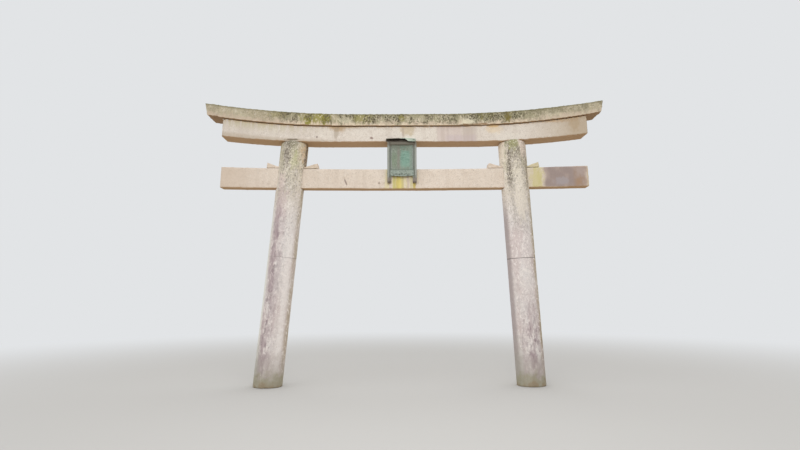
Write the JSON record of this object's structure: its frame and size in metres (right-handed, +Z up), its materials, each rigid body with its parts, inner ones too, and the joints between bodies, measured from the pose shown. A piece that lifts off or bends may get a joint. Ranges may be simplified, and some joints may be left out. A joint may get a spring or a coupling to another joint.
{
  "type": "stone torii gate",
  "caption": "Weathered granite shrine gate: round leaning pillars, tie beam held by wedges, bowed lintel under an upswept cap, and a hooded bronze plaque left bare.",
  "frame": {"origin": "on the ground in the middle of the gate, below the plaque", "axes": "+Z up, +X to the right seen from the front, -Y out of the front, towards whoever walks up to the plaque"},
  "size_m": [7.3237, 0.5795, 5.1841],
  "materials": {
    "pillar_stone": "weathered granite, hammer dressed, grey lichen and dark water streaks",
    "beam_stone": "weathered granite, smooth dressed, warm cream",
    "lintel_stone": "weathered granite, smooth dressed, pinkish cream with water stains",
    "cap_stone": "weathered granite under moss and black lichen",
    "wedge_stone": "weathered granite, split faces",
    "strut_stone": "weathered granite",
    "plaque_bronze": "weathered bronze sheet, dull grey-green patina",
    "arm_iron": "wrought iron, dull brown rust"
  },
  "bodies": {
    "root": {"pillar_left_lower": "pillar_stone", "pillar_left_upper": "pillar_stone", "pillar_right_lower": "pillar_stone", "pillar_right_upper": "pillar_stone", "tie_beam_left": "beam_stone", "tie_beam_middle": "beam_stone", "tie_beam_right": "beam_stone", "wedge_left_outer": "wedge_stone", "wedge_left_inner": "wedge_stone", "wedge_right_inner": "wedge_stone", "wedge_right_outer": "wedge_stone", "strut": "strut_stone", "lintel_left": "lintel_stone", "lintel_middle": "lintel_stone", "lintel_right": "lintel_stone", "cap_tip_left": "cap_stone", "cap_left": "cap_stone", "cap_middle": "cap_stone", "cap_right": "cap_stone", "plaque_panel": "plaque_bronze", "plaque_side_left": "plaque_bronze", "plaque_side_right": "plaque_bronze", "plaque_top_rail": "plaque_bronze", "plaque_bottom_rail": "plaque_bronze", "plaque_hood": "plaque_bronze", "plaque_arm_left": "arm_iron", "plaque_arm_right": "arm_iron"}
  },
  "joints": []
}
